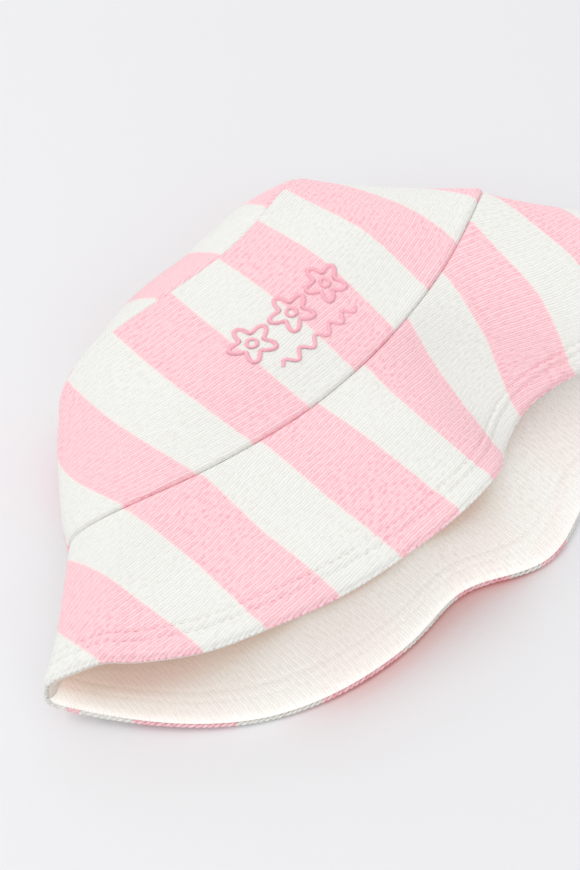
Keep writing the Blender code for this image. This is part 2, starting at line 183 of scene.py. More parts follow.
# ------------------------------------------------------------------ rings
def ring_dense(ring, front_waves, back_waves, count=5760):
    turn = np.linspace(-math.pi, math.pi, count + 1)
    s, c = np.sin(turn), np.cos(turn)
    x = ring["half_width"] * np.sign(s) * np.abs(s) ** ring["x_pow"]
    front = c >= 0
    z = np.where(front,
                 ring["z_side"] + (ring["z_top"] - ring["z_side"]) * np.abs(c) ** ring["z_pow"],
                 ring["z_side"] - (ring["z_side"] - Z_TABLE) * np.abs(c) ** 0.5)
    out = np.abs(x) / ring["half_width"]
    y = np.where(front,
                 ring["y_side"] + (ring["y_top"] - ring["y_side"]) * (1 - out ** ring["bow"]),
                 ring["y_side"]
                 + (ring["y_back"] - ring["y_side"]) * (1 - out ** ring["bow_back"]))
    y = y + ring["skew"] * x
    for waves, fade in ((front_waves, front), (back_waves, ~front * np.sqrt(np.abs(c)))):
        for centre, width, shift_y, shift_z in waves:
            bump = np.exp(-((x - centre) / width) ** 2) * fade
            y, z = y + shift_y * bump, z + shift_z * bump
    x = x + ring["x0"] - ring["ear"] * np.exp(-(c / 0.3) ** 2) * (s < 0)
    return np.stack([x, y, np.maximum(z, 0.0)], -1), turn


def ring_even(ring, front_waves=(), back_waves=()):
    """The ring in evenly spaced columns, and half the length of its (front, back)."""
    points, turn = ring_dense(ring, front_waves, back_waves)
    lengths = travelled(points)
    left, right = (np.interp(a, turn, lengths) for a in (-math.pi / 2, math.pi / 2))
    total = lengths[-1]
    front = np.linspace(left, right, 2 * QUARTER + 1)[:-1]
    back = np.linspace(right, total + left, 2 * QUARTER + 1)[:-1] % total
    even = sample(np.concatenate([front, back]), lengths, points)
    return even, ((right - left) / 2, (total - (right - left)) / 2)


TIP_RING, TIP_HALF = ring_even(TIP_SEAM)
SEAM_RING, SEAM_HALF = ring_even(BRIM_SEAM)
EDGE_RING, EDGE_HALF = ring_even(BRIM_EDGE, FRONT_WAVES, BACK_WAVES)


# ------------------------------------------------------------------ outer surface
# Rows are placed by station: 0..1 over the tip, 1..2 over the side, 2..3 over the brim.
def radial(points):
    out = points - points.mean(0)
    out[:, 1] = 0
    return unit(out)


def tip_row(share):
    middle = TIP_RING.mean(0)
    middle[1] += DOME_LIFT
    middle[2] = TIP_RING[:, 2].max() * 0.5
    row = middle + (TIP_RING - middle) * share
    end = (row[:, 0] - middle[0]) / TIP_SEAM["half_width"]
    sink = np.where(end < 0, *DOME_SINK) * np.abs(end) ** DOME_SINK_POW
    row[:, 1] += DOME * (1 - share ** DOME_POW) * np.maximum(1 - sink, 0.0)
    return row


def side_row(down):
    row = (1 - down) * TIP_RING + down * SEAM_RING
    bulge = CROWN_BULGE + LEFT_BULGE * ease((-row[:, 0] - LEFT_FROM) / LEFT_OVER)
    return row + (bulge * math.sin(math.pi * down))[:, None] * radial(row)


def brim_row(down):
    row = (1 - down) * SEAM_RING + down * EDGE_RING
    near = ease((row[:, 0] - SIDE_PULL_FROM) / SIDE_PULL_OVER)
    pull = (math.sqrt(down) * near)[:, None] * np.array(SIDE_PULL)
    return row - BRIM_SAG * math.sin(math.pi * down) * radial(row) + pull


def master_row(station):
    if station < 1:
        return tip_row(station)
    if station < 2:
        return side_row(station - 1)
    return brim_row(station - 2)


def soft_waves(points):
    """A few long, shallow swells, so that the cloth isn't perfectly ruled."""
    rng = np.random.default_rng(11)
    longest = 95
    height = np.zeros(points.shape[:-1])
    for _ in range(9):
        wave = rng.uniform(38, longest)
        angle = rng.uniform(0, 2 * math.pi)
        heading = np.array([math.cos(angle), math.sin(angle), rng.uniform(-.4, .4)])
        size = rng.uniform(0.5, 1.0) * wave / longest
        height += size * np.sin(points @ (2 * math.pi / wave * heading) + rng.uniform(0, 6.28))
    return height


def grid_normals(grid):
    along = np.gradient(grid, axis=0)
    around = np.roll(grid, -1, axis=1) - np.roll(grid, 1, axis=1)
    normals = unit(np.cross(along, around))
    normals[0] = (0.0, 1.0, 0.0)
    return normals


def smooth_rows(grid):
    inner = 0.5 * grid[1:-1] + 0.25 * (grid[2:] + grid[:-2])
    return np.concatenate([grid[:1], inner, grid[-1:]])


def smooth_normals(grid):
    normals = grid_normals(grid)
    for _ in range(6):
        beside = np.roll(normals, 1, axis=1) + np.roll(normals, -1, axis=1)
        normals = unit(smooth_rows(0.5 * normals + 0.25 * beside))
    return normals


def master_grid():
    grid = np.array([master_row(station) for station in STATIONS])
    off_floor = ease((grid[..., 2] - 2.0) / 9.0)
    grid = grid + (SWELL * soft_waves(grid) * off_floor)[..., None] * grid_normals(grid)
    for _ in range(5):       # round the folds over along the rows
        grid = smooth_rows(grid)
    grid[..., 2] = np.maximum(grid[..., 2], 0.0)
    return grid


STATIONS = np.concatenate([np.linspace(0, 1, 41)[:-1], np.linspace(1, 2, 57)[:-1],
                           np.linspace(2, 3, 53)])
MASTER = master_grid()
NORMAL = smooth_normals(MASTER)
MASTER = MASTER + SHIFT


def locate(stations):
    """The row before each station, and the fraction of the way to the next row."""
    row = np.clip(np.searchsorted(STATIONS, stations, side="right") - 1, 0, len(STATIONS) - 2)
    return row, (stations - STATIONS[row]) / (STATIONS[row + 1] - STATIONS[row])


def rows_at(stations, columns, grid):
    row, fraction = locate(np.asarray(stations, float))
    fraction = fraction[:, None, None]
    return (1 - fraction) * grid[row][:, columns] + fraction * grid[row + 1][:, columns]


def at_depth(stations, columns, depth):
    """Points below the outer surface; the depth is one number or a grid."""
    normals = unit(rows_at(stations, columns, NORMAL))
    depth = np.asarray(depth, float)[..., None]
    return rows_at(stations, columns, MASTER) - depth * normals


def line_at(station, columns, depth):
    return at_depth([station], columns, depth)[0]


def from_edge(distance):
    """The station this far in from the brim's edge."""
    return 3 - distance / BRIM_WIDTH


# ------------------------------------------------------------------ fabric coordinates
# Each point gets (stripe count, mm along the stripe, mm across it).
def pulled(count, down, at, stripes):
    """The stripe count with the boundaries moved to where the cloth carries them."""
    whole = np.round(stripes[0])
    far = 20             # stripes past the last known boundary
    known = np.concatenate([[whole[0] - far], whole, [whole[-1] + far]])
    out = np.array(count, float)
    for row, place in enumerate(np.ravel(down)):
        there = np.array([np.interp(place, at, boundary) for boundary in zip(*stripes)])
        ends = np.concatenate([[there[0] - far], there, [there[-1] + far]])
        out[row] = np.interp(count[row], ends, known)
    return out


def tip_fabric(stations, columns, _back):
    stations = np.asarray(stations, float)[:, None]
    angle = SHARE[columns][None, :] * math.pi / 2
    facing = np.where(columns >= 2 * QUARTER, -1, 1)
    across = stations * TIP_PATTERN_R * np.sin(angle)
    along = stations * TIP_PATTERN_R * np.cos(angle) * facing
    count = across / TIP_STRIPE + 1.0
    # stripes right of the middle lean over towards the front
    count = count - 0.11 * np.clip(count, 0, 2.2) * ease((along + 10) / 40)
    return np.stack([count, along, across], -1)


def side_fabric(stations, columns, back):
    down = np.asarray(stations, float)[:, None] - 1
    half = (1 - down) * TIP_HALF[back] + down * SEAM_HALF[back]
    across = SHARE[columns][None, :] * half
    count = (across - BAND_PHASE) / STRIPE
    if not back:
        count = pulled(count, down, SIDE_AT, SIDE_STRIPES)
    return np.stack([count, down * SIDE_HEIGHT + 0 * across, across], -1)


def brim_fabric(stations, columns, back):
    down = np.asarray(stations, float)[:, None] - 2
    share = SHARE[columns][None, :]
    angle = ((1 - down) * share * SEAM_HALF[back] / BRIM_PATTERN_R
             + down * share * EDGE_HALF[back] / (BRIM_PATTERN_R + BRIM_WIDTH))
    radius = BRIM_PATTERN_R + down * BRIM_WIDTH
    across, along = radius * np.sin(angle), radius * np.cos(angle)
    if not back:
        count = pulled((across - BRIM_PHASE) / STRIPE, down, BRIM_AT, BRIM_STRIPES)
        return np.stack([count, along, across], -1)
    count = (across - BACK_BRIM_PHASE) / (STRIPE + BACK_BRIM_SPREAD * ease(down))
    edge_x = rows_at([3.0], columns, MASTER)[0, :, 0] - SHIFT[0]
    known_x = (BACK_EDGE_X[0] - 150,) + BACK_EDGE_X + (BACK_EDGE_X[-1] + 150,)
    known_count = np.concatenate([[-11.0], np.arange(-6.0, 4.0), [8.0]])
    edge_count = np.interp(edge_x, known_x, known_count)
    near_edge = ease((down - 0.82) / 0.12)
    count = (1 - near_edge) * count + near_edge * edge_count[None, :]
    return np.stack([count, along, across], -1)


def tape_fabric(stations, columns):
    """Coordinates for a tape that runs all the way round, mirrored so its ends meet."""
    turn = np.arange(len(columns)) / len(columns)
    across = np.abs(turn - 0.5)[None, :] * 2 * sum(SEAM_HALF)
    stations = stations[:, None]
    return np.stack([0 * stations + 0 * across, stations * SIDE_HEIGHT + 0 * across,
                     across + 0 * stations], -1)


# ------------------------------------------------------------------ relief
def dip(distance, width, depth):
    return depth * np.exp(-(distance / width) ** 2)


def stitch_pull(columns, pitch, seed):
    """How tight each stitch of a seam pulls, round the hat: about 0.7 to 1.3."""
    rng = np.random.default_rng(seed)
    columns = np.asarray(columns, float)
    column_step = 560.0 / TOTAL
    wave = 0.18 * np.sin(2 * math.pi * columns * column_step / pitch)
    knots = np.arange(0, TOTAL + 8, 4.0)
    return 1.0 + wave + np.interp(columns, knots, rng.normal(0, 0.13, len(knots)))


def tip_seam_relief(distance, tight):
    """The groove of the seam between tip and side, and the swell beside it."""
    return (dip(distance, width=0.75, depth=0.50) * tight
            - dip(distance - 2.2, width=1.9, depth=0.14))


def relief_side(stations, columns):
    """How far the outer face of a side panel stands below the master surface: it rolls
    over fully at the brim seam, where it overhangs a narrow sewn line."""
    down = (stations - 1)[:, None]
    top, bottom = down * SIDE_HEIGHT, (1 - down) * SIDE_HEIGHT
    tight = stitch_pull(columns, pitch=3.4, seed=3)
    loose = stitch_pull(columns, pitch=5.1, seed=4)
    return (tip_seam_relief(top, tight) + dip(bottom, width=0.52, depth=1.20) * tight
            - dip(bottom - 2.6, width=2.5, depth=0.46) * loose
            - dip(bottom - 9.0, width=5.5, depth=0.25))


def relief_tip(stations, columns):
    return tip_seam_relief(((1 - stations) * TIP_ROW)[:, None],
                           stitch_pull(columns, pitch=3.4, seed=5))


def hem_relief(edge, columns, groove, ridge):
    """A groove under each stitch row and a ridge between the two."""
    relief = -dip(edge - 10.0, 1.2, ridge) * stitch_pull(columns, pitch=4.2, seed=8)
    for k, distance in enumerate(HEM_ROWS):
        tight = stitch_pull(columns, pitch=3.2, seed=6 + k)
        relief = relief + dip(edge - distance, 0.70, groove) * tight
    return relief


def relief_brim(stations, columns):
    down = (stations - 2)[:, None]
    top, edge = down * BRIM_WIDTH, (1 - down) * BRIM_WIDTH
    return (0.55 * np.exp(-(top / 3.0)) + dip(top, width=0.5, depth=0.75)
            + hem_relief(edge, columns, groove=0.42, ridge=0.22)
            + dip(edge, width=0.9, depth=1.05) - dip(edge - 3.2, width=2.4, depth=0.22))


def relief_facing(stations, columns):
    edge = (3 - stations)[:, None] * BRIM_WIDTH
    return (hem_relief(edge, columns, groove=0.09, ridge=0.04)
            + dip(edge, width=1.6, depth=0.7))


# ------------------------------------------------------------------ rows of each piece
NEAR_SPOT = (0, 0.3, 0.6, 0.9, 1.2, 1.5, 1.9, 2.4, 3.0)
CLOSEST = 0.22           # rows nearer than this are dropped


def fine(start, end, spots, length, step=1.5):
    """Stations from start to end, closer together round the spots."""
    rows = list(np.linspace(start, end, max(2, int((end - start) * length / step) + 1)))
    for spot in spots:
        near = [spot + sign * away / length for away in NEAR_SPOT for sign in (-1, 1)]
        rows += [station for station in near if start < station < end]
    rows = np.unique(np.round(rows, 5))
    keep = [rows[0]]
    for station in rows[1:-1]:
        if (station - keep[-1]) * length > CLOSEST:
            keep.append(station)
    return np.array(keep + [rows[-1]])


SEAM_GAP = 0.10          # left open beside each seam
BACK_INSET = 0.9         # the back brim's cloth stops this far from the edge
side_gap = SEAM_GAP / SIDE_HEIGHT
brim_start = 2 + SEAM_GAP / BRIM_WIDTH
hem_spots = tuple(from_edge(distance) for distance in HEM_ROWS)

SIDE_ROWS = fine(1 + side_gap, 2 - side_gap, (1.0, 2.0, 1.06, 1.94), SIDE_HEIGHT)
TIP_ROWS = fine(0.03, 1 - SEAM_GAP / TIP_ROW, (1.0, 0.94), TIP_ROW, step=1.6)
# (front, back)
BRIM_ROWS = (fine(brim_start, 3.0, hem_spots + (2.0, 3.0, 2.03), BRIM_WIDTH),
             fine(brim_start, from_edge(BACK_INSET), hem_spots + (2.0, 2.99, 2.03), BRIM_WIDTH))
FACING_ROWS = (fine(brim_start, from_edge(0.3), hem_spots + (3.0,), BRIM_WIDTH),
               fine(brim_start, from_edge(BACK_INSET), hem_spots + (2.98,), BRIM_WIDTH))
SIDE_LINING_ROWS = np.linspace(1.004, 1.996, 30)
TIP_LINING_ROWS = np.linspace(0.03, 0.99, 18)
INTERLINING_ROWS = np.linspace(2.004, 2.86, 26)
SWEATBAND_ROWS = np.linspace(1.66, 1.996, 16)


# ------------------------------------------------------------------ mesh making
def link(obj):
    bpy.context.scene.collection.objects.link(obj)
    return obj


def make_mesh(name, verts, faces, fabric):
    mesh = bpy.data.meshes.new(name)
    mesh.from_pydata((np.asarray(verts) * MM).tolist(), [], faces)
    mesh.update()
    attribute = mesh.attributes.new("fab", "FLOAT_VECTOR", "POINT")
    attribute.data.foreach_set("vector", np.asarray(fabric, np.float32).ravel())
    mesh.shade_smooth()
    return link(bpy.data.objects.new(name, mesh))


def shell(name, outer, inner, fabric, closed, pole=False, rim=0.35):
    """A cloth piece: two grids joined by a rounded rim.  With a pole, the first row
    closes to a point.  The fabric coordinates go on both faces."""
    rows, width = outer.shape[:2]
    verts = np.concatenate([outer.reshape(-1, 3), inner.reshape(-1, 3)])
    fabric_flat = np.concatenate([fabric.reshape(-1, 3)] * 2)
    top = np.arange(rows * width).reshape(rows, width)
    low = top + rows * width
    pairs = [(c, (c + 1) % width) for c in range(width if closed else width - 1)]
    faces = []
    for r in range(1 if pole else 0, rows - 1):
        for c, d in pairs:
            faces.append((top[r, c], top[r, d], top[r + 1, d], top[r + 1, c]))
            faces.append((low[r, c], low[r + 1, c], low[r + 1, d], low[r, d]))
    # a middle row, pushed outwards, rounds each cut edge
    ends = [(rows - 1, rows - 2, False)] if pole else [(rows - 1, rows - 2, False), (0, 1, True)]
    for r, neighbour, flip in ends:
        push = unit(outer[r] - outer[neighbour]) * rim
        middle = np.arange(len(verts), len(verts) + width)
        verts = np.concatenate([verts, (outer[r] + inner[r]) / 2 + push])
        fabric_flat = np.concatenate([fabric_flat, fabric[r]])
        for c, d in pairs:
            quads = [(top[r, c], top[r, d], middle[d], middle[c]),
                     (middle[c], middle[d], low[r, d], low[r, c])]
            faces += [quad[::-1] for quad in quads] if flip else quads
    if not closed:
        for c, flip in ((0, True), (width - 1, False)):
            for r in range(rows - 1):
                quad = (top[r, c], top[r + 1, c], low[r + 1, c], low[r, c])
                faces.append(quad if flip else quad[::-1])
    if pole:
        tip = len(verts)
        verts = np.concatenate([verts, outer[0].mean(0)[None], inner[0].mean(0)[None]])
        fabric_flat = np.concatenate([fabric_flat] + [fabric[0].mean(0)[None]] * 2)
        for c, d in pairs:
            faces.append((tip, top[1, d], top[1, c]))
            faces.append((tip + 1, low[1, c], low[1, d]))
    used = sorted({i for face in faces for i in face})
    renumber = {old: new for new, old in enumerate(used)}
    faces = [tuple(renumber[i] for i in face) for face in faces]
    return make_mesh(name, verts[used], faces, fabric_flat[used])


def tubes(name, paths, radii, sides, fabrics=None):
    """Round threads along many short open paths, in one mesh."""
    verts, faces, fabric = [], [], []
    base = 0
    for k, path in enumerate(paths):
        count = len(path)
        tangent = unit(np.gradient(path, axis=0))
        side = np.cross(tangent, np.array([0.0, 0.0, 1.0]))
        upright = np.linalg.norm(side, axis=1) < 0.2
        side[upright] = np.cross(tangent[upright], np.array([0.0, 1.0, 0.0]))
        side = unit(side)
        up = np.cross(side, tangent)
        radius = np.asarray(radii[k])[:, None]
        length = travelled(path)
        for j in range(sides):
            a = 2 * math.pi * j / sides
            verts.append(path + radius * (math.cos(a) * side + math.sin(a) * up))
            if fabrics is None:
                turn = np.full(count, 360.0 * j / sides / 57.3)
                fabric.append(np.stack([0 * length, length, turn], -1))
            else:
                fabric.append(fabrics[k])
        starts = [base + j * count for j in range(sides)]
        for i in range(count - 1):
            for j in range(sides):
                here, beside = starts[j] + i, starts[(j + 1) % sides] + i
                faces.append((here, beside, beside + 1, here + 1))
        faces.append(tuple(starts)[::-1])
        faces.append(tuple(start + count - 1 for start in starts))
        base += count * sides
    return make_mesh(name, np.concatenate(verts), faces, np.concatenate(fabric))


# ------------------------------------------------------------------ materials
def srgb(*channels):
    def linear(c):
        return ((c / 255 + 0.055) / 1.055) ** 2.4 if c / 255 > 0.04045 else c / 255 / 12.92
    return tuple(linear(c) for c in channels) + (1.0,)


class Nodes:
    """A short way to write node trees.  An input is either a plain value or a socket."""

    def __init__(self, name):
        self.mat = bpy.data.materials.new(name)
        self.mat.use_nodes = True
        self.tree = self.mat.node_tree
        self.bsdf = self.tree.nodes["Principled BSDF"]

    def new(self, kind):
        return self.tree.nodes.new("ShaderNode" + kind)

    def feed(self, socket, value):
        if isinstance(value, bpy.types.NodeSocket):
            self.tree.links.new(value, socket)
        else:
            socket.default_value = value

    def calc(self, operation, *values):
        node = self.new("Math")
        node.operation = operation
        for socket, value in zip(node.inputs, values):
            self.feed(socket, value)
        return node.outputs[0]

    add = partialmethod(calc, "ADD")
    sub = partialmethod(calc, "SUBTRACT")
    mul = partialmethod(calc, "MULTIPLY")
    div = partialmethod(calc, "DIVIDE")
    mul_add = partialmethod(calc, "MULTIPLY_ADD")
    absolute = partialmethod(calc, "ABSOLUTE")

    def wave(self, x, rate=math.pi):
        return self.calc("SINE", self.mul(x, rate))

    def swing(self, x, size):
        """A 0..1 value centred on 0 and scaled."""
        return self.mul(self.sub(x, 0.5), size)

    def vec(self, x, y):
        node = self.new("CombineXYZ")
        for socket, value in zip(node.inputs, (x, y, 0.0)):
            self.feed(socket, value)
        return node.outputs[0]

    def split(self, vector):
        node = self.new("SeparateXYZ")
        self.feed(node.inputs[0], vector)
        return node.outputs

    def noise(self, vector, scale, detail=2.0, rough=0.5, distortion=0.0):
        node = self.new("TexNoise")
        for key, value in (("Scale", scale), ("Detail", detail), ("Roughness", rough),
                           ("Distortion", distortion), ("Vector", vector)):
            self.feed(node.inputs[key], value)
        return node.outputs["Fac"]

    def mix(self, factor, first, second):
        node = self.new("Mix")
        node.data_type = "RGBA"
        for index, value in ((0, factor), (6, first), (7, second)):
            self.feed(node.inputs[index], value)
        return node.outputs[2]

    def ramp(self, x, low, high):
        """0 below low, 1 above high, smooth between."""
        node = self.new("MapRange")
        node.interpolation_type = "SMOOTHSTEP"
        for key, value in (("From Min", low), ("From Max", high), ("Value", x)):
            self.feed(node.inputs[key], value)
        return node.outputs["Result"]

    def shade(self, distance, low, high, samples=6):
        """0 in deep shade, 1 in the open; the distance is in metres."""
        node = self.new("AmbientOcclusion")
        node.samples = samples
        node.inputs["Distance"].default_value = distance
        return self.ramp(node.outputs["AO"], low, high)

    def bump(self, height, distance, strength=1.0):
        """Surface relief; the distance is in metres."""
        node = self.new("Bump")
        for key, value in (("Distance", distance), ("Strength", strength), ("Height", height)):
            self.feed(node.inputs[key], value)
        self.feed(self.bsdf.inputs["Normal"], node.outputs["Normal"])

    def fabric(self):
        """Stripe count, mm along the stripe and mm across it."""
        node = self.new("Attribute")
        node.attribute_name = "fab"
        return self.split(node.outputs["Vector"])

    def set(self, **values):
        for key, value in values.items():
            self.feed(self.bsdf.inputs[key.replace("_", " ")], value)


# groove, middle and ridge tones: the groove tone is painted shade in the knit's grooves, the ridge tone
# painted light on its ridges
PINK = (srgb(238, 168, 181), srgb(249, 205, 211), srgb(251, 213, 219))
WHITE = (srgb(222, 220, 214), srgb(235, 235, 231), srgb(237, 237, 233))
CREAM_TONES = (srgb(236, 231, 224), srgb(248, 246, 242), srgb(251, 250, 247))
STRIPE_EDGE = srgb(252, 222, 214)
SHOW_THROUGH = srgb(252, 214, 210)
# painted shade colours of the cream knit: one for its creases, and three for inside the opening, from light
# to deep
CREAM_PAINTED_SHADE = srgb(220, 186, 172)
PAINTED_SHADE_LIGHT, PAINTED_SHADE_DEEP, PAINTED_SHADE_PINK = srgb(227, 217, 205), srgb(214, 188, 170), srgb(216, 172, 160)


def knit_height(n, along, across, wale, course):
    """Height of a fine jersey knit: straight ridges a wale apart, each a chain of small
    loops a course long.  The ridges read clearly in some patches, and sink into a
    pebbly loop texture in others."""
    place = n.vec(along, across)
    drift = n.swing(n.noise(place, scale=0.035, detail=1.0), size=3.0)
    jitter = n.swing(n.noise(place, scale=0.50, detail=1.5), size=0.95)
    line = n.add(n.add(n.div(along, wale), drift), jitter)
    ridge = n.calc("POWER", n.absolute(n.wave(line)), 0.55)
    ridge = n.mul(ridge, n.mul_add(n.wave(line), 0.28, 0.72))    # every other one lower
    row = n.calc("FLOOR", line)
    chain = n.wave(n.add(n.div(across, course), n.mul(row, 0.37)), 2 * math.pi)
    loops = n.mul_add(chain, 0.5, 0.5)
    pebble = n.noise(n.vec(n.mul(along, 1.10), n.mul(across, 0.6)), scale=0.62, rough=0.55)
    pebble = n.ramp(pebble, low=0.25, high=0.75)
    clear = n.ramp(n.noise(place, scale=0.032, rough=0.6), low=0.34, high=0.60)
    ridge_part = n.mul(ridge, n.mul_add(clear, 0.26, 0.54))
    pebble_part = n.mul(pebble, n.mul_add(clear, -0.16, 0.34))
    return n.add(n.add(ridge_part, pebble_part), n.mul(loops, 0.08)), place


def fuzz(n, weight=0.25):
    n.set(Roughness=0.95, Sheen_Weight=weight, Sheen_Roughness=0.5, Specular_IOR_Level=0.08)


def three_tones(n, height, low, mid, top):
    """The grooves take the deep tone as painted shade, the ridges the light one as painted light."""
    return n.mix(n.ramp(height, low=0.55, high=0.95),
                 n.mix(n.ramp(height, low=0.16, high=0.56), low, mid), top)


def striped_knit(name="striped_knit", depth=0.00019):
    n = Nodes(name)
    count, along, across = n.fabric()
    height, place = knit_height(n, along, across, wale=1.06, course=1.20)
    wobble = n.swing(n.noise(place, scale=1.3), size=0.05)
    wave = n.wave(n.add(count, wobble))
    is_pink = n.ramp(wave, low=-0.04, high=0.04)
    pink = three_tones(n, height, *PINK)
    white = three_tones(n, height, *WHITE)
    base = n.mix(is_pink, white, pink)
    edge = n.sub(1.0, n.ramp(n.absolute(wave), low=0.02, high=0.10))
    base = n.mix(n.mul(edge, 0.30), base, STRIPE_EDGE)
    n.set(Base_Color=base)
    n.bump(height, depth)
    fuzz(n)
    return n.mat


def cream_knit():
    """Its ridges run the other way, and the stripes under it show through faintly. Shade in its creases and
    inside the opening is painted into its colour, warm and pinkish.
    """
    n = Nodes("cream_knit")
    count, along, across = n.fabric()
    height, _ = knit_height(n, across, along, wale=1.10, course=1.3)
    under = n.ramp(n.wave(count), low=-0.5, high=0.5)
    base = three_tones(n, height, *CREAM_TONES)
    base = n.mix(n.mul(under, 0.10), base, SHOW_THROUGH)
    # painted shade: where ambient occlusion finds creases and hollows shaded, the cream takes a warm shade
    # colour
    base = n.mix(n.shade(distance=0.035, low=0.0, high=0.45), CREAM_PAINTED_SHADE, base)
    # painted shade inside the opening, read from a per-point attribute: light at its edge, deep and pinkish
    # further in
    node = n.new("Attribute")
    node.attribute_name = "dusk"
    dusk = node.outputs["Fac"]
    deep = n.mix(n.mul(under, 0.35), PAINTED_SHADE_DEEP, PAINTED_SHADE_PINK)
    base = n.mix(n.mul(dusk, 0.80), base,
                 n.mix(n.ramp(dusk, low=0.40, high=0.95), PAINTED_SHADE_LIGHT, deep))
    n.set(Base_Color=base)
    n.bump(height, distance=0.00014)
    fuzz(n, weight=0.15)
    return n.mat


def woven(name, light, dark, pitch, rough=0.85, rib=False, depth=0.00010, sheen=0.15):
    """Plain weave, or ribs that are wider and stand higher."""
    along_size, across_size, across_pitch = (
        (0.15, 0.45, 2.6 * pitch) if rib else (0.25, 0.25, pitch))
    n = Nodes(name)
    _, along, across = n.fabric()
    warp = n.wave(along, 2 * math.pi / pitch)
    weft = n.wave(across, 2 * math.pi / across_pitch)
    height = n.add(n.mul(warp, along_size), n.mul(weft, across_size))
    height = n.add(height, n.noise(n.vec(along, across), scale=0.8, detail=3.0))
    n.set(Base_Color=n.mix(n.ramp(height, low=0.1, high=0.9), dark, light), Roughness=rough,
          Sheen_Weight=sheen, Specular_IOR_Level=0.25)
    n.bump(height, depth)
    return n.mat


def felted(name, light, dark):
    n = Nodes(name)
    place = n.new("TexCoord").outputs["Object"]
    height = n.noise(place, scale=1400.0, detail=4.0, rough=0.7, distortion=1.5)
    n.set(Base_Color=n.mix(n.ramp(height, low=0.3, high=0.7), dark, light), Roughness=0.95)
    n.bump(height, distance=0.0002, strength=0.8)
    return n.mat


def twisted_thread(name, light, dark):
    n = Nodes(name)
    _, along, around = n.fabric()
    twist = n.wave(n.add(n.mul(along, 1.0), n.mul(around, 0.16)), 2 * math.pi / 0.45)
    height = n.mul_add(twist, 0.5, 0.5)
    n.set(Base_Color=n.mix(n.ramp(height, low=0.0, high=0.7), dark, light), Roughness=0.55,
          Sheen_Weight=0.2, Specular_IOR_Level=0.35)
    n.bump(height, distance=0.00005, strength=0.6)
    return n.mat


STRIPED = striped_knit()
CREAM = cream_knit()
LINING_CLOTH = woven("lining_cotton", light=srgb(244, 242, 236), dark=srgb(230, 226, 216),
                     pitch=0.5)
TAPE = woven("sweatband_tape", light=srgb(240, 235, 224), dark=srgb(216, 208, 193),
             pitch=0.7, rib=True, depth=0.00025)
STIFFENER = felted("interlining", light=srgb(240, 236, 226), dark=srgb(222, 216, 202))
EMB_THREAD = twisted_thread("embroidery_thread", light=srgb(255, 205, 215),
                            dark=srgb(242, 166, 182))
SATIN = woven("label_satin", light=srgb(248, 247, 243), dark=srgb(235, 233, 226),
              pitch=0.28, rough=0.38, depth=0.00003, sheen=0.0)


# ------------------------------------------------------------------ fitting to the frame
def dress(obj, material, body, slot, node=None):
    obj.data.materials.append(material)
    if body:
        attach(obj, body)
    if node:
        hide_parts(node)


def flap_weight(stations, share):
    """How fully each point of the front brim follows the turned-up brim."""
    down = (np.asarray(stations, float) - 2)[:, None]
    return ease((down - 0.01) / 0.66) * (1 - ease((np.abs(share)[None, :] - 0.40) / 0.58))


def bend_front(obj, weights):
    low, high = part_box("brim_top_front")
    y = (low[1] + high[1]) / 2
    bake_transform(obj, "hat_body", "front_brim", (0.0, high[1], low[2]), (0.0, y, low[2]))
    attribute = obj.data.attributes["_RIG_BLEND"]
    attribute.data.foreach_set("value", np.asarray(weights, np.float32))


# painted shade inside the opening, warm, on the back facing: x, how far down the brim it
# reaches and over what distance it fades, both as shares of the brim's width
PAINTED_SHADE_REACH = ((-150.0, 0.80, 0.31), (-135.0, 0.72, 0.34), (-115.0, 0.60, 0.36), (-95.0, 0.55, 0.22),
        (-75.0, 0.53, 0.10), (-34.0, 0.60, 0.09), (-12.0, 0.60, 0.14), (9.0, 0.50, 0.26),
        (27.0, 0.42, 0.22), (50.0, 0.36, 0.20), (75.0, 0.34, 0.20))


def set_painted_shade(obj, front=False):
    """Painted shade of each point inside the opening, for the cream knit: 0 in the open, 1 inside."""
    place_x = np.array([v.co.x for v in obj.data.vertices]) / MM - SHIFT[0]
    fabric = np.zeros(len(place_x) * 3, np.float32)
    obj.data.attributes["fab"].data.foreach_get("vector", fabric)
    fabric = fabric.reshape(-1, 3)
    down = (np.hypot(fabric[:, 1], fabric[:, 2]) - BRIM_PATTERN_R) / BRIM_WIDTH
    known_x, known_reach, known_fade = zip(*PAINTED_SHADE_REACH)
    reach, fade = (np.interp(place_x, known_x, known) for known in (known_reach, known_fade))
    dusk = 1 - ease((down - reach) / fade)
    if front:
        # only the fold at the left end shows the inside of the front half
        dusk = np.maximum(dusk, 0.75) * ease((-128 - place_x) / 16)
    attribute = obj.data.attributes.new("dusk", "FLOAT", "POINT")
    attribute.data.foreach_set("value", dusk.astype(np.float32))


# ------------------------------------------------------------------ cloth pieces
def cloth_panel(name, stations, columns, layer, fabric, relief=None, inner_relief=None,
                back=False, disc=False, rim=0.35):
    depth, thick = (np.broadcast_to(d, stations.shape)[:, None] for d in layer)
    outer_dip = relief(stations, columns) if relief else 0.0
    inner_dip = inner_relief(stations, columns) if inner_relief else 0.0
    outer = at_depth(stations, columns, depth + outer_dip)
    inner = at_depth(stations, columns, depth + thick - inner_dip)
    for grid in (outer, inner):
        grid[..., 2] = np.maximum(grid[..., 2], 0.0)
    return shell(name, outer, inner, fabric(stations, columns, back), closed=disc, pole=disc,
                 rim=rim)


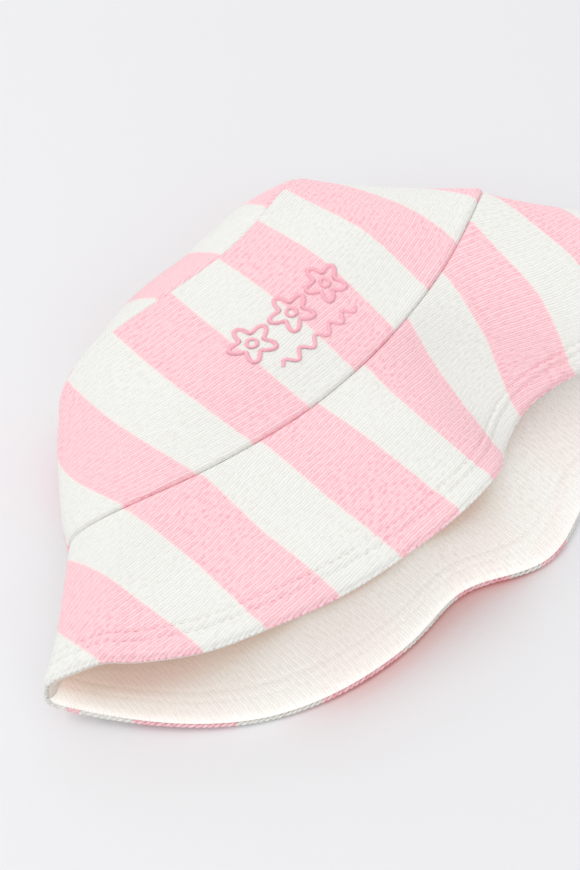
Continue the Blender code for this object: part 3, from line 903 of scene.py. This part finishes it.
def crown():
    obj = cloth_panel("tip_panel_cloth", TIP_ROWS, ROUND, PANEL, tip_fabric, relief_tip,
                      disc=True)
    dress(obj, STRIPED, "hat_body", "striped_knit", "tip_panel")
    for half, columns, back in HALVES:
        obj = cloth_panel("side_panel_%s_cloth" % half, SIDE_ROWS, columns, PANEL,
                          side_fabric, relief_side, back=back)
        dress(obj, STRIPED, "hat_body", "striped_knit", "side_panel_" + half)
        obj = cloth_panel("side_lining_%s_cloth" % half, SIDE_LINING_ROWS, columns, LINING,
                          side_fabric, back=back)
        dress(obj, LINING_CLOTH, "hat_body", "lining_cotton", "side_lining_" + half)
    obj = cloth_panel("tip_lining_cloth", TIP_LINING_ROWS, ROUND, LINING, tip_fabric, disc=True)
    dress(obj, LINING_CLOTH, "hat_body", "lining_cotton", "tip_lining")


def sweatband():
    depth, thick = SWEATBAND
    obj = shell("sweatband_tape_cloth", at_depth(SWEATBAND_ROWS, ROUND, depth),
                at_depth(SWEATBAND_ROWS, ROUND, depth + thick),
                tape_fabric(SWEATBAND_ROWS, ROUND), closed=True, rim=0.2)
    dress(obj, TAPE, "hat_body", "sweatband_tape", "sweatband")


def facing_layer(stations):
    """Near the edge the facing is drawn down onto the brim top."""
    away = ease(((3 - stations) * BRIM_WIDTH + 1.0) / 9.5)
    return [edge + (full - edge) * away for edge, full in zip(FACING_AT_EDGE, FACING)]


def brim(half, columns, back):
    facing_rows = FACING_ROWS[back]
    # part, rows, layer, material, slot, the rest of the panel's settings
    parts = (
        ("top", BRIM_ROWS[back], PANEL, STRIPED, "striped_knit",
         dict(relief=relief_brim, rim=0.5)),
        ("interlining", INTERLINING_ROWS, INTERLINING, STIFFENER, "interlining", dict(rim=0.1)),
        ("facing", facing_rows, facing_layer(facing_rows), CREAM, "cream_knit",
         dict(inner_relief=relief_facing, rim=0.45)))
    made = []
    for part, rows, layer, material, slot, settings in parts:
        node = "brim_%s_%s" % (part, half)
        obj = cloth_panel(node + "_cloth", rows, columns, layer, brim_fabric, back=back,
                          **settings)
        # the facing takes painted shade inside the opening
        if part == "facing":
            set_painted_shade(obj, front=not back)
        dress(obj, material, "hat_body" if back else None, slot, node)
        made.append((obj, rows))
    if back:
        return
    for obj, rows in made:
        weight = flap_weight(rows, SHARE[columns])
        # outer face, inner face, then the rims of the last and first rows
        bend_front(obj, np.concatenate([weight.ravel(), weight.ravel(), weight[-1], weight[0]]))


crown()
sweatband()
for each in HALVES:
    brim(*each)

# ------------------------------------------------------------------ hem stitches
STITCH, STITCH_GAP, STITCH_MARGIN = 2.7, 0.5, 1.5
STITCH_SIDES, STITCH_POINTS = 5, 6


def stitch_row(name, station, columns, back):
    """Short threads that lie in a hem groove, in the cloth's own colour."""
    depth = sum(FACING) - 0.35 if back else 0.45
    line = line_at(station, columns, depth)
    fabric_line = brim_fabric([station], columns, back)[0]
    lengths = travelled(line)
    normals = rows_at([station], columns, NORMAL)[0]
    outward = -1.0 if back else 1.0
    hump = np.sin(np.linspace(0, math.pi, STITCH_POINTS))
    rise = outward * (hump * 0.30 - 0.12)
    paths, fabrics, weights = [], [], []
    start = STITCH_MARGIN
    while start + STITCH < lengths[-1] - STITCH_MARGIN:
        at = np.linspace(start, start + STITCH, STITCH_POINTS)
        paths.append(sample(at, lengths, line) + rise[:, None] * sample(at, lengths, normals))
        fabrics.append(sample(at, lengths, fabric_line))
        weight = flap_weight([station], np.interp(at, lengths, SHARE[columns]))[0]
        weights.append(np.tile(weight, STITCH_SIDES))
        start += STITCH + STITCH_GAP
    radii = [0.17 + 0.10 * hump] * len(paths)
    return tubes(name, paths, radii, STITCH_SIDES, fabrics), np.concatenate(weights)


HEM_THREAD = striped_knit("hem_thread_tone", 0.00005)
for half, columns, back in HALVES:
    for row_name, distance in zip(("inner", "outer"), HEM_ROWS):
        obj, weights = stitch_row("hem_stitches_%s_%s" % (row_name, half),
                                  from_edge(distance), columns, back)
        # the back stitches take the facing's painted shade inside the opening
        if back:
            set_painted_shade(obj)
        dress(obj, CREAM if back else HEM_THREAD, "hat_body" if back else None, "hem_thread",
              "hem_stitch_%s_%s" % (row_name, half))
        if not back:
            bend_front(obj, weights)

# ------------------------------------------------------------------ rolled brim edge
ROLL_PITCH, ROLL_STEP, ROLL_MARGIN = 4.6, 0.38, 0.6
ROLL_SIDES = 7


def edge_roll(name, columns, back, station, depth, radius, ply):
    """The turned knit edge that shows past the facing: two plies, twisted round a line at
    a distance `ply` from it."""
    line = line_at(station, columns, depth)
    normals = rows_at([station], columns, NORMAL)[0]
    away = unit(line - line_at(station - 0.02, columns, depth))
    fabric_line = brim_fabric([station], columns, back)[0]
    lengths = travelled(line)
    at = np.arange(ROLL_MARGIN, lengths[-1] - ROLL_MARGIN, ROLL_STEP)
    rng = np.random.default_rng(5)
    loose = np.interp(at, np.arange(0, lengths[-1] + 9, 4.0),
                      rng.normal(0, 0.6, int((lengths[-1] + 9) / 4.0) + 1))
    middle, away, normals, fabric = (sample(at, lengths, rows)
                                     for rows in (line, away, normals, fabric_line))
    paths = []
    for k in range(2):
        turn = (2 * math.pi * at / ROLL_PITCH + k * math.pi + loose)[:, None]
        paths.append(middle + ply * (np.cos(turn) * away + np.sin(turn) * normals))
    # the roll is fuller in the fold at the left end, and thins out towards the right end
    x = middle[:, 0]
    fold = 1 - ease((x - x.min()) / 24)
    full = ease((x.max() + 3 - x) / 26)
    radii = [radius * (0.5 + 0.5 * full) * (1 + 0.6 * fold)] * 2
    obj = tubes(name, paths, radii, ROLL_SIDES, [fabric] * 2)
    # keep the roll above the floor (metres)
    verts = obj.data.vertices
    if min(v.co.z for v in verts) < 0:
        for v in verts:
            v.co.z = max(v.co.z, 0.00002)
    weight = flap_weight([station], np.interp(at, lengths, SHARE[columns]))[0]
    return obj, np.tile(weight, 2 * ROLL_SIDES)


back_roll, _ = edge_roll("brim_edge_roll_back", BACK, True, from_edge(0.85),
                         depth=1.30, radius=0.56, ply=0.46)
dress(back_roll, STRIPED, "hat_body", "striped_knit")
front_roll, roll_weights = edge_roll("brim_edge_roll_front", FRONT, False, 2.999,
                                     depth=1.45, radius=0.40, ply=0.26)
dress(front_roll, STRIPED, None, "striped_knit")
bend_front(front_roll, roll_weights)

# ------------------------------------------------------------------ embroidery
# On the front side panel: u in mm from its centre towards +X, down as a share of its height.
FLOWER_R, FLOWER_PETALS, FLOWER_SPACING = 8.6, 5, 19.0
FLOWER_U, FLOWER_DOWN = 0.0, 0.55
CENTRE_R = 1.9
VINE_U, VINE_DOWN, VINE_HALF, VINE_WAVE, VINE_RISE = 1.0, 0.75, 19.0, 7.6, 1.7
SATIN_THREAD_R, SATIN_POINTS = 0.21, 7
SATIN_SLANT = 0.35


def on_side(u, down, rise):
    half = (1 - down) * TIP_HALF[0] + down * SEAM_HALF[0]
    place = QUARTER * (1 + u / half)
    column = np.clip(np.floor(place).astype(int), 0, 2 * QUARTER - 1)
    across = (place - column)[:, None]
    row, fraction = locate(1 + down)
    fraction = fraction[:, None]

    def pick(grid):
        upper, lower = ((1 - across) * grid[r, column] + across * grid[r, column + 1]
                        for r in (row, row + 1))
        return (1 - fraction) * upper + fraction * lower
    return pick(MASTER) + rise[:, None] * unit(pick(NORMAL))


def satin(name, u, w, width, step, down, closed=True, height=0.55):
    """Satin stitching along an outline, u and w in mm across and down the front panel."""
    track = np.stack([u, w], -1)
    if closed:
        track = np.concatenate([track, track[:1]])
    lengths = travelled(track)
    total = lengths[-1]
    count = int(total / step)
    rng = np.random.default_rng(len(name))
    q = np.linspace(-1, 1, SATIN_POINTS)
    paths = []
    for k in range(count):
        at = total * k / count
        ahead = (at + 0.3) % total if closed else min(at + 0.3, total)
        behind = at if closed else max(at - 0.3, 0.0)
        centre, after, before = sample(np.array([at, ahead, behind]), lengths, track)
        heading = unit(after - before)
        side = unit(np.array([-heading[1], heading[0]]) + SATIN_SLANT * heading)
        reach = width * rng.uniform(0.90, 1.08) / 2
        place = centre + np.outer(q * reach, side)
        rise = 0.02 + height * np.cos(q * math.pi / 2) ** 0.8 + rng.normal(0, 0.03)
        rise[0] = rise[-1] = -0.30       # the ends sink into the cloth
        paths.append(on_side(place[:, 0], down + place[:, 1] / SIDE_HEIGHT, rise))
    obj = tubes(name, paths, [np.full(SATIN_POINTS, SATIN_THREAD_R)] * count, sides=5)
    dress(obj, EMB_THREAD, "hat_body", "embroidery_thread",
          name.replace("embroidered", "embroidery"))


def full_turn(count):
    return np.linspace(0, 2 * math.pi, count + 1)[:-1]


for place, step in (("left", -1), ("middle", 0), ("right", 1)):
    flower_u = FLOWER_U + step * FLOWER_SPACING
    turn = full_turn(240)
    radius = FLOWER_R * (0.76 + 0.24 * np.cos(FLOWER_PETALS * turn))
    satin("embroidered_flower_" + place, flower_u + radius * np.sin(turn),
          -radius * np.cos(turn), width=1.75, step=0.36, down=FLOWER_DOWN)
    turn = full_turn(48)
    satin("embroidered_centre_" + place, flower_u + CENTRE_R * np.sin(turn),
          -CENTRE_R * np.cos(turn), width=1.3, step=0.34, down=FLOWER_DOWN)
vine = np.linspace(-1, 1, 200) * VINE_HALF
satin("embroidered_vine", VINE_U + vine, VINE_RISE * np.sin(2 * math.pi * vine / VINE_WAVE),
      width=1.55, step=0.34, down=VINE_DOWN, closed=False, height=0.48)


# ------------------------------------------------------------------ labels
def ribbon_label(label):
    """A blank satin label that lifts and ripples a little towards its +Y end."""
    low, high = (np.array(corner) * 1000 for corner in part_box(label))
    size = high - low
    nx, ny = 18, 26
    verts, faces, fabric = [], [], []
    for side in (0, 1):
        for j in range(ny + 1):
            v = j / ny
            for i in range(nx + 1):
                u = i / nx
                x = low[0] + size[0] * u
                y = low[1] + size[1] * v * (1 - 0.01 * v)
                curl = 1.6 * v ** 2.2 + 0.25 * math.sin(5 * u + 2) * v
                verts.append((x, y, low[2] + size[2] * side * 0.55 + curl))
                fabric.append((0.0, y, x))
    row = nx + 1
    layer = row * (ny + 1)
    for side in (0, 1):
        for j in range(ny):
            for i in range(nx):
                corner = side * layer + j * row + i
                quad = (corner, corner + 1, corner + row + 1, corner + row)
                faces.append(quad if side else quad[::-1])
    border = (list(range(row)) + [j * row + nx for j in range(1, ny + 1)]
              + [ny * row + i for i in range(nx - 1, -1, -1)]
              + [j * row for j in range(ny - 1, 0, -1)])
    for here, after in zip(border, border[1:] + border[:1]):
        faces.append((here, after, layer + after, layer + here))
    obj = make_mesh(label + "_ribbon", verts, faces, fabric)
    obj.data.set_sharp_from_angle(angle=math.radians(40))
    dress(obj, SATIN, label + "_body", "label_satin", label)


ribbon_label("care_label")
ribbon_label("size_label")


# ------------------------------------------------------------------ floor (metres)
def floor():
    mesh = bpy.data.meshes.new("studio_floor")
    half = 6.0
    mesh.from_pydata([(-half, -half, 0), (half, -half, 0), (half, half, 0), (-half, half, 0)],
                     [], [(0, 1, 2, 3)])
    obj = link(bpy.data.objects.new("studio_floor", mesh))
    obj.location.z = -0.0002
    n = Nodes("studio_floor")
    # painted shadow: the floor is tinted pink where it lies in shade under the raised part of the brim,
    # towards the camera's right, for the pink light the stripes throw there
    x, y, _ = n.split(n.new("NewGeometry").outputs["Position"])
    right = n.add(n.mul(x, 0.667), n.mul(y, -0.745))      # towards the camera's right
    before = n.ramp(n.mul(y, -1.0), low=0.010, high=0.050)
    reach = n.mul(n.ramp(right, low=-0.028, high=0.014),
                  n.sub(1.0, n.ramp(right, low=0.062, high=0.090)))
    shaded = n.sub(1.0, n.shade(distance=0.07, low=0.48, high=0.97, samples=16))
    pink = n.mul(shaded, n.mul(reach, before))
    n.set(Base_Color=n.mix(pink, srgb(243, 243, 245), srgb(228, 172, 168)), Roughness=0.9,
          Specular_IOR_Level=0.0)
    mesh.materials.append(n.mat)


floor()

# ------------------------------------------------------------------ light (metres, watts)
scene = bpy.context.scene
if scene.world is None:
    scene.world = bpy.data.worlds.new("studio")
scene.world.use_nodes = True
background = scene.world.node_tree.nodes["Background"]
background.inputs["Color"].default_value = (1.0, 1.0, 1.0, 1.0)
background.inputs["Strength"].default_value = 0.745


def area(name, place, aim, size, power, only=None, but=None):
    """A square light; `only` or `but` name the starts of the objects it lights or skips."""
    light = bpy.data.lights.new(name, "AREA")
    light.shape = "SQUARE"
    light.size = size
    light.energy = power
    obj = link(bpy.data.objects.new(name, light))
    obj.location = place
    obj.rotation_euler = (Vector(aim) - Vector(place)).to_track_quat("-Z", "Y").to_euler()
    if only or but:
        lit = bpy.data.collections.new(name + "_lights")
        for piece in scene.objects:
            if piece.type == "MESH" and (piece.name.startswith(only) if only
                                         else not piece.name.startswith(but)):
                lit.objects.link(piece)
        obj.light_linking.receiver_collection = lit


OUTSIDE = ("tip_panel", "side_panel", "brim_top", "embroidered", "hem_stitches_inner_front",
           "hem_stitches_outer_front", "brim_edge_roll_front")
BACK_FACING = ("brim_facing_back", "hem_stitches_inner_back", "hem_stitches_outer_back")
INSIDE = BACK_FACING + ("side_lining", "tip_lining", "sweatband", "care_label", "size_label")
area("key", place=(-1.35, 1.0, 2.0), aim=(0, 0, 0), size=1.3, power=19.0, but=BACK_FACING)
area("front_reflector", place=(-0.9, -1.5, 1.0), aim=(0, -0.05, 0.02), size=1.6, power=2.5)
# soft lights from behind the crown and from the right, which the floor doesn't take
area("crown_light", place=(0.6, 1.5, 1.3), aim=(0, 0, 0.02), size=1.2, power=5.5, only=OUTSIDE)
area("right_fill", place=(1.4, -0.7, 1.3), aim=(0.05, 0, 0.02), size=1.0, power=5.8,
     only=OUTSIDE)
# a white card held at the opening, which lights only the inside of the hat
area("opening_card", place=(-0.69, -0.99, 1.20), aim=(0, -0.05, 0.0), size=1.0, power=12.0,
     only=INSIDE)

# ------------------------------------------------------------------ camera
# a long lens, looking down from the opening's left
AZIMUTH, ELEVATION = math.radians(-48.16), math.radians(52.1)
CAMERA_DISTANCE = 1.0    # metres
AIM_POINT = (-23.65, -21.97, 20.0)       # before SHIFT
SENSOR_WIDTH, LENS = 36.0, 165.1034483

to_camera = Vector((math.sin(AZIMUTH) * math.cos(ELEVATION),
                    -math.cos(AZIMUTH) * math.cos(ELEVATION), math.sin(ELEVATION)))
camera_data = bpy.data.cameras.new("camera")
camera_data.sensor_fit = "HORIZONTAL"
camera_data.sensor_width = SENSOR_WIDTH
camera_data.lens = LENS
camera_data.clip_start = 0.05
camera_data.clip_end = 20.0
camera = link(bpy.data.objects.new("camera", camera_data))
camera.location = Vector((np.array(AIM_POINT) + SHIFT) * MM) + to_camera * CAMERA_DISTANCE
camera.rotation_euler = (-to_camera).to_track_quat("-Z", "Y").to_euler()
scene.camera = camera
scene.view_settings.view_transform = "Standard"
